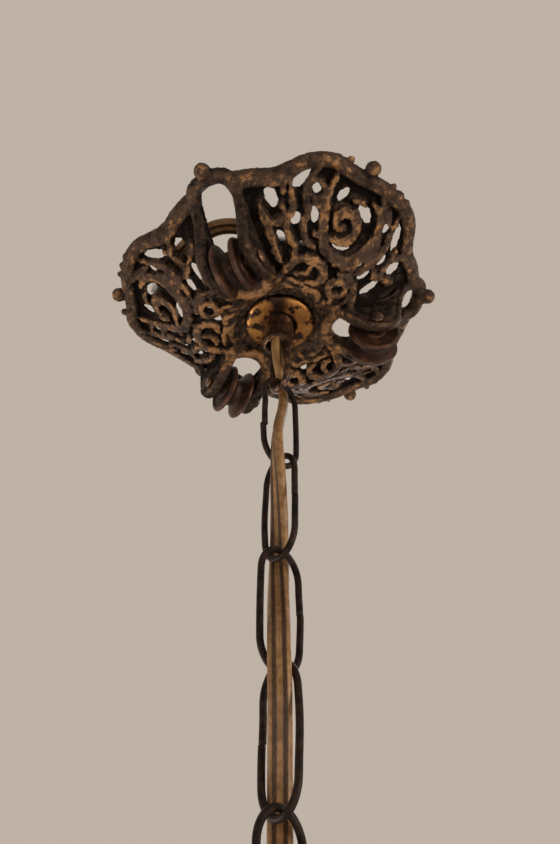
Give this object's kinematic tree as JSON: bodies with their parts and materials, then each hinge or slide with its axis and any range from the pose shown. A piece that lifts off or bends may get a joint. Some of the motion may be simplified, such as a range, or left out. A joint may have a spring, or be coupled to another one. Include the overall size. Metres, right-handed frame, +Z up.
{
  "type": "pendant lamp",
  "caption": "Hanging lamp with an openwork cast canopy carrying pulley forks, an oval link chain with a flat twin cord woven through it, and a brass lampholder with a bulb.",
  "frame": {"origin": "centre of the ceiling plate's upper face, which lies against the ceiling", "axes": "+Z up into the ceiling, the lamp hangs along -Z; the near left pulley fork of the picture points to azimuth 242.5 degrees from +X"},
  "size_m": [0.1261, 0.1183, 0.3978],
  "materials": {
    "casting": "aged cast bronze, dark in the recesses and worn golden on the high spots",
    "bronze": "dark red-brown patina",
    "iron": "dark brown, worn to metal on the edges",
    "brass": "aged brass with dark specks",
    "steel": "zinc plated",
    "cord": "clear gold plastic over two copper conductors",
    "porcelain": "white glaze",
    "card": "brown fibre card",
    "glass": "clear",
    "filament": "dull tungsten wire"
  },
  "bodies": {
    "canopy": {"canopy_casting": "casting", "pulley_axle_1": "iron", "pulley_axle_2": "iron", "pulley_axle_3": "iron", "ceiling_plate": "steel", "plate_screw_1": "steel", "plate_screw_2": "steel", "plate_screw_3": "steel", "hickey": "iron", "nipple": "brass", "lamp_cord": "cord", "collar_ring": "brass", "screw_collar_loop": "iron", "terminal_block": "porcelain", "block_screw_1": "brass", "block_screw_2": "brass"},
    "pulley_wheel_1": {"pulley_1": "bronze"},
    "pulley_wheel_2": {"pulley_2": "bronze"},
    "pulley_wheel_3": {"pulley_3": "bronze"},
    "link_1": {"chain_link_1": "iron"},
    "link_2": {"chain_link_2": "iron"},
    "link_3": {"chain_link_3": "iron"},
    "link_4": {"chain_link_4": "iron"},
    "link_5": {"chain_link_5": "iron"},
    "lampholder": {"lampholder_loop": "brass", "lampholder_nipple": "brass", "socket_cap": "brass", "socket_shell": "brass", "card_liner": "card", "socket_body": "porcelain", "terminal_screw_1": "brass", "terminal_screw_2": "brass", "screw_sleeve": "brass", "centre_contact": "brass", "bulb_button": "steel", "bulb_insulator": "porcelain", "bulb_screw_cap": "brass", "bulb_glass": "glass", "bulb_stem": "glass", "bulb_filament": "filament"}
  },
  "joints": [
    {"name": "pulley_1_spin", "type": "hinge", "parent": "canopy", "child": "pulley_wheel_1", "pos_m": [-0.01588, -0.03051, -0.0302], "axis": [0.887, -0.4617, 0], "continuous": true},
    {"name": "pulley_2_spin", "type": "hinge", "parent": "canopy", "child": "pulley_wheel_2", "pos_m": [0.03437, 0.0015, -0.0302], "axis": [-0.0436, 0.999, 0], "continuous": true},
    {"name": "pulley_3_spin", "type": "hinge", "parent": "canopy", "child": "pulley_wheel_3", "pos_m": [-0.01848, 0.02901, -0.0302], "axis": [-0.8434, -0.5373, 0], "continuous": true},
    {"name": "link_1_swing", "type": "hinge", "parent": "canopy", "child": "link_1", "pos_m": [0, 0, -0.0569], "axis": [0.6428, -0.766, 0], "range_deg": [-25, 25], "deforming": ["lamp_cord"]},
    {"name": "link_2_swing", "type": "hinge", "parent": "link_1", "child": "link_2", "pos_m": [0, 0, -0.09126], "axis": [0.766, 0.6428, 0], "range_deg": [-25, 25]},
    {"name": "link_3_swing", "type": "hinge", "parent": "link_2", "child": "link_3", "pos_m": [0, 0, -0.12592], "axis": [0.6428, -0.766, 0], "range_deg": [-25, 25]},
    {"name": "link_4_swing", "type": "hinge", "parent": "link_3", "child": "link_4", "pos_m": [0, 0, -0.16058], "axis": [0.766, 0.6428, 0], "range_deg": [-25, 25]},
    {"name": "link_5_swing", "type": "hinge", "parent": "link_4", "child": "link_5", "pos_m": [0, 0, -0.19524], "axis": [0.6428, -0.766, 0], "range_deg": [-25, 25]},
    {"name": "lampholder_swing", "type": "hinge", "parent": "link_5", "child": "lampholder", "pos_m": [0, 0, -0.2299], "axis": [0.766, 0.6428, 0], "range_deg": [-25, 25]}
  ]
}
